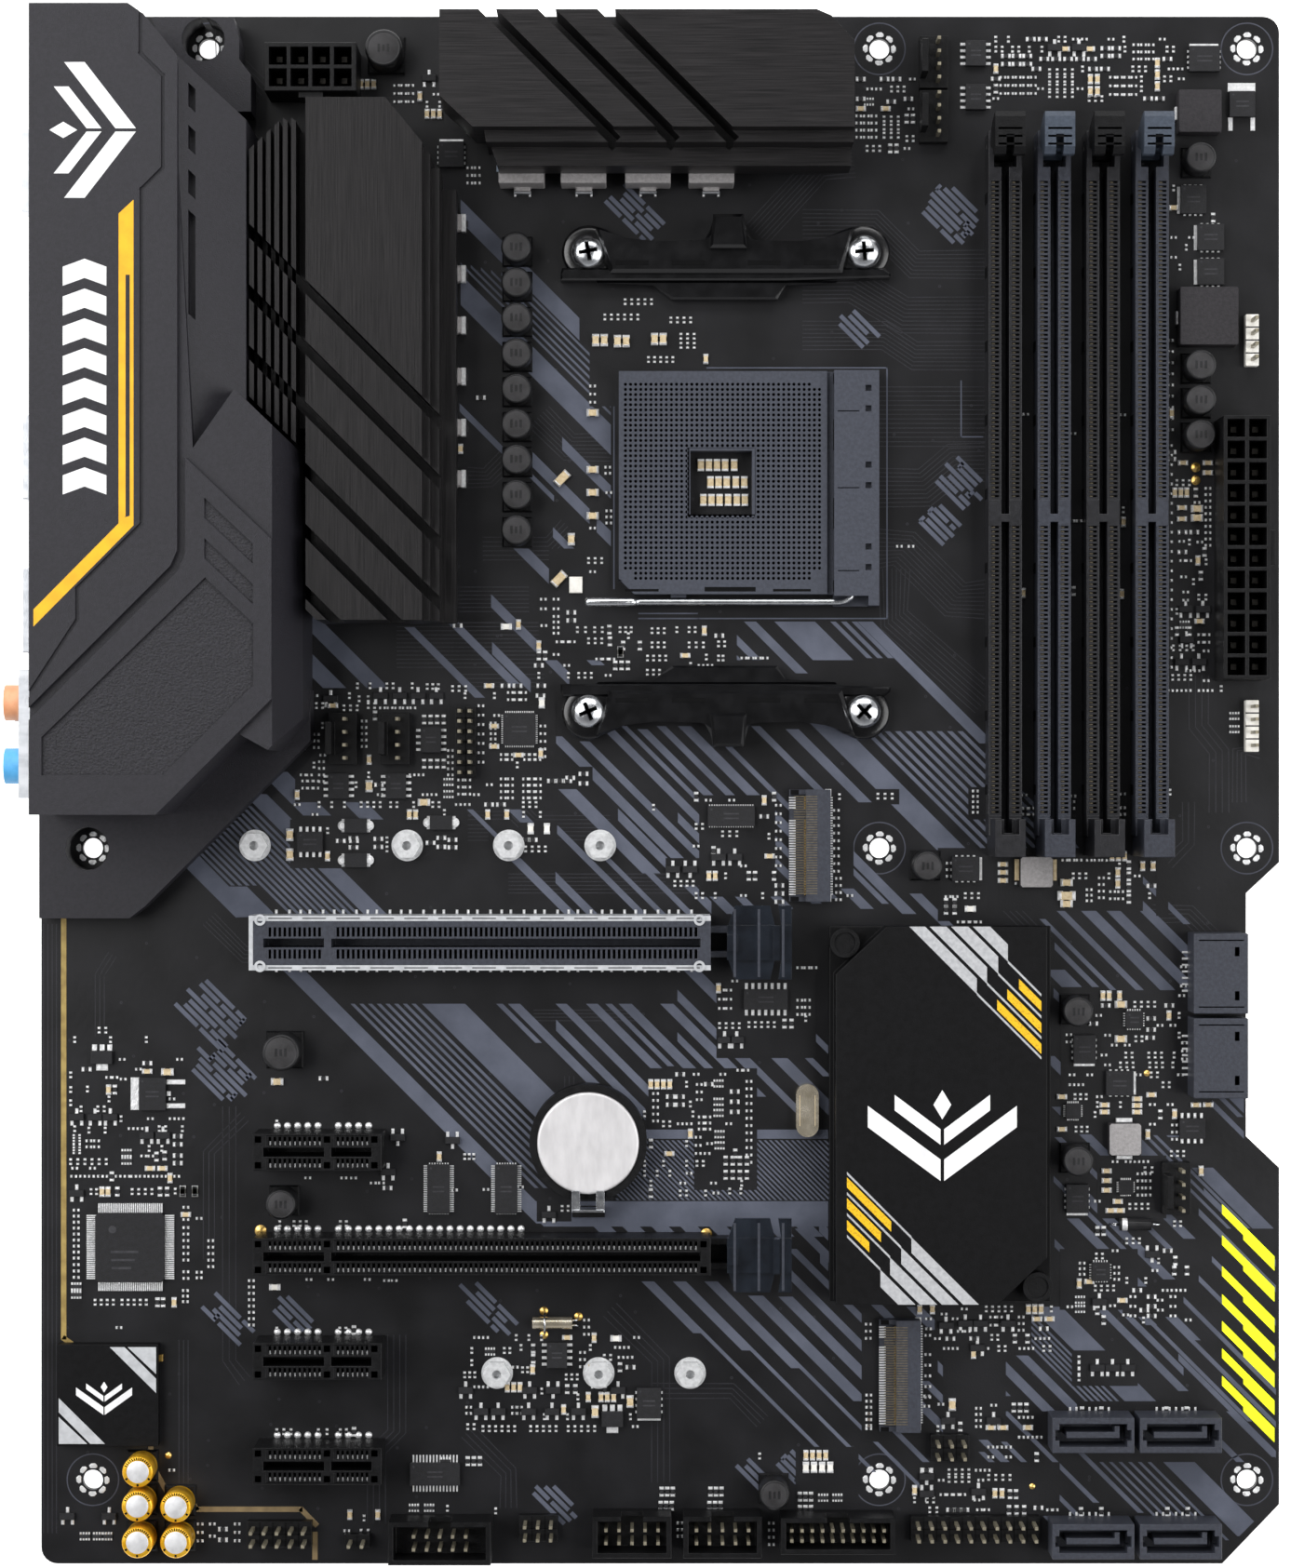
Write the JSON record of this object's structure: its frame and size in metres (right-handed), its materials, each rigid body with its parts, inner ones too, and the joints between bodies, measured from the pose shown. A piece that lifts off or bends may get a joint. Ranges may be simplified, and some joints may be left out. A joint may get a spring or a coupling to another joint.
{
  "type": "computer motherboard",
  "caption": "Full-size desktop computer mainboard with processor socket, memory and expansion slots, finned heatsinks, a shroud over the rear ports, headers and a coin cell.",
  "frame": {"origin": "centre of the rectangle of the four lower standoff holes, on the underside of the board", "axes": "+X from the rear ports to the front edge, +Y from the expansion slots to the processor power socket, +Z out of the component side"},
  "size_m": [0.2461, 0.3048, 0.0396],
  "materials": {
    "board_black": "satin solder mask",
    "shroud_plastic": "fine textured",
    "anodised_black": "brushed, anodised black",
    "chipset_black": "matte painted aluminium",
    "pad_grey": "soft thermal pad",
    "choke_grey": "pressed ferrite",
    "steel_bright": "bright",
    "socket_plastic": "blue-grey moulded",
    "black_plastic": "moulded",
    "grey_plastic": "grey moulded",
    "clear_latch": "smoky gloss",
    "white_plastic": "moulded",
    "pin_gold": "tinned and gold plated",
    "shield_steel": "black painted steel",
    "cell_steel": "fine brushed",
    "can_black": "sleeved can",
    "can_gold": "gold sleeve",
    "chip_black": "moulded package",
    "die_green": "substrate",
    "port_metal": "nickel plated",
    "collar_colour": "coloured plastic",
    "standoff_metal": "nickel plated"
  },
  "bodies": {
    "board": {"pcb": "board_black", "io_shroud": "shroud_plastic", "vrm_heatsink_rear": "anodised_black", "vrm_heatsink_top": "anodised_black", "thermal_pads": "pad_grey", "vrm_chokes": "choke_grey", "underside_screws": "steel_bright", "socket_base": "socket_plastic", "socket_backplate": "shield_steel", "cooler_bracket_top": "black_plastic", "cooler_bracket_bottom": "black_plastic", "bracket_screws": "steel_bright", "dimm_slot_a1": "black_plastic", "dimm_slot_a2": "grey_plastic", "dimm_slot_b1": "black_plastic", "dimm_slot_b2": "grey_plastic", "pcie_x16_slot_1": "grey_plastic", "pcie_x16_shield": "steel_bright", "pcie_x16_slot_2": "black_plastic", "pcie_x1_slots": "black_plastic", "m2_sockets": "grey_plastic", "m2_standoffs": "standoff_metal", "chipset_chip": "die_green", "chipset_heatsink": "chipset_black", "chipset_push_pins": "black_plastic", "battery_holder": "black_plastic", "coin_cell": "cell_steel", "atx_power_socket": "black_plastic", "cpu_power_socket": "black_plastic", "connector_pins": "pin_gold", "sata_sockets": "black_plastic", "fan_headers": "black_plastic", "box_headers": "black_plastic", "pin_headers": "black_plastic", "rgb_headers": "white_plastic", "audio_shield": "shield_steel", "audio_codec": "chip_black", "super_io_chip": "chip_black", "polymer_capacitors": "can_black", "audio_capacitors": "can_gold", "power_inductors": "choke_grey", "chip_packages": "chip_black", "crystals": "port_metal", "ps2_port": "port_metal", "video_ports": "port_metal", "usb_ports": "port_metal", "lan_port": "port_metal", "audio_jacks": "black_plastic", "audio_jack_collars": "collar_colour", "flashback_switch": "black_plastic"},
    "lever": {"socket_lever": "steel_bright"},
    "socket_slider": {"socket_cover": "socket_plastic"},
    "latch_a1": {"dimm_latch_a1": "black_plastic"},
    "latch_a2": {"dimm_latch_a2": "grey_plastic"},
    "latch_b1": {"dimm_latch_b1": "black_plastic"},
    "latch_b2": {"dimm_latch_b2": "grey_plastic"},
    "card_latch_1": {"pcie_x16_latch_1": "clear_latch"},
    "card_latch_2": {"pcie_x16_latch_2": "clear_latch"},
    "cell_clip": {"battery_clip": "steel_bright"},
    "button": {"flashback_button": "white_plastic"}
  },
  "joints": [
    {"name": "lever_lift", "type": "hinge", "parent": "board", "child": "lever", "pos_m": [0.03617, 0.13126, 0.0052], "axis": [0, 1, 0], "range_deg": [0, 100]},
    {"name": "socket_slide", "type": "slide", "parent": "board", "child": "socket_slider", "axis": [1, 0, 0], "range_m": [0, 0.001]},
    {"name": "latch_a1_tilt", "type": "hinge", "parent": "board", "child": "latch_a1", "pos_m": [0.06538, 0.20006, 0.0046], "axis": [-1, 0, 0], "range_deg": [0, 28]},
    {"name": "latch_a2_tilt", "type": "hinge", "parent": "board", "child": "latch_a2", "pos_m": [0.07493, 0.20006, 0.0046], "axis": [-1, 0, 0], "range_deg": [0, 28]},
    {"name": "latch_b1_tilt", "type": "hinge", "parent": "board", "child": "latch_b1", "pos_m": [0.08447, 0.20006, 0.0046], "axis": [-1, 0, 0], "range_deg": [0, 28]},
    {"name": "latch_b2_tilt", "type": "hinge", "parent": "board", "child": "latch_b2", "pos_m": [0.09402, 0.20006, 0.0046], "axis": [-1, 0, 0], "range_deg": [0, 28]},
    {"name": "card_latch_1_tilt", "type": "hinge", "parent": "board", "child": "card_latch_1", "pos_m": [0.01468, 0.04396, 0.0046], "axis": [0, 1, 0], "range_deg": [0, 18]},
    {"name": "card_latch_2_tilt", "type": "hinge", "parent": "board", "child": "card_latch_2", "pos_m": [0.01468, -0.017, 0.0046], "axis": [0, 1, 0], "range_deg": [0, 18]},
    {"name": "cell_clip_flex", "type": "hinge", "parent": "board", "child": "cell_clip", "pos_m": [-0.01603, -0.00859, 0.0025], "axis": [1, 0, 0], "range_deg": [0, 12], "stiffness_Nm_per_rad": 0.02},
    {"name": "button_press", "type": "slide", "parent": "board", "child": "button", "axis": [1, 0, 0], "range_m": [0, 0.001], "stiffness_N_per_m": 300, "springref_m": -0.0005}
  ],
  "couplings": [
    {"joint": "socket_slide", "follows": "lever_lift", "m_per_rad": 0.00057}
  ]
}
